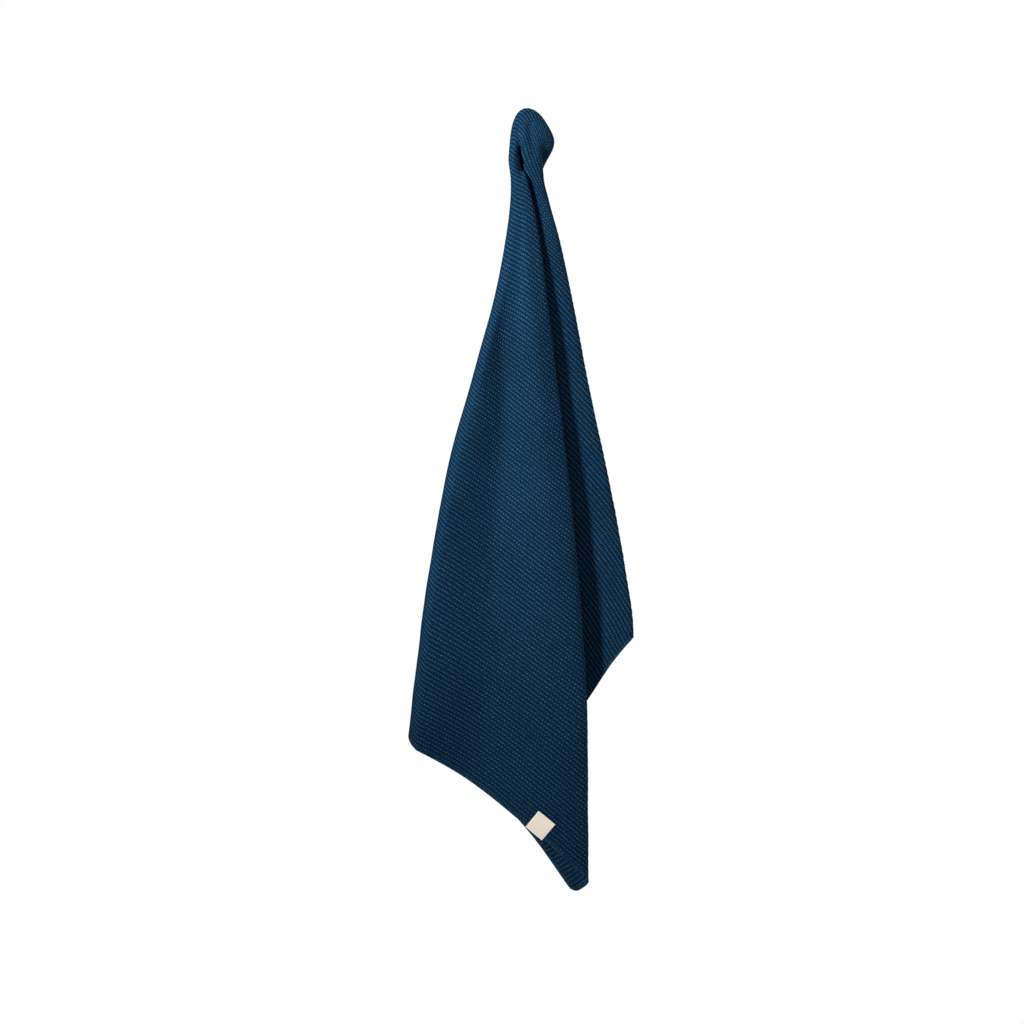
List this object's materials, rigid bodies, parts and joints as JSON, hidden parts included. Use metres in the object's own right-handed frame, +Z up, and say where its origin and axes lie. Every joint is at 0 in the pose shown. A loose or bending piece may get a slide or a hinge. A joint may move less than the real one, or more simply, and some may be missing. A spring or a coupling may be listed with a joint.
{
  "type": "hanging hand towel",
  "caption": "Dark blue knitted hand towel hung from a hook near one corner, falling in soft folds to a point, with a small blank label folded over its hem.",
  "frame": {"origin": "where the hook's tip bears, on the inside of the hood that the cloth forms over it", "axes": "+Z up, -Y the front that is seen, +Y towards the wall, +X to the right as seen from the front"},
  "size_m": [0.209, 0.0528, 0.7227],
  "materials": {
    "knit": "matt moss stitch knit in dark blue cotton",
    "label": "plain woven cream cotton tape"
  },
  "bodies": {
    "root": {"towel_cloth": "knit", "hem_label": "label"}
  },
  "joints": []
}
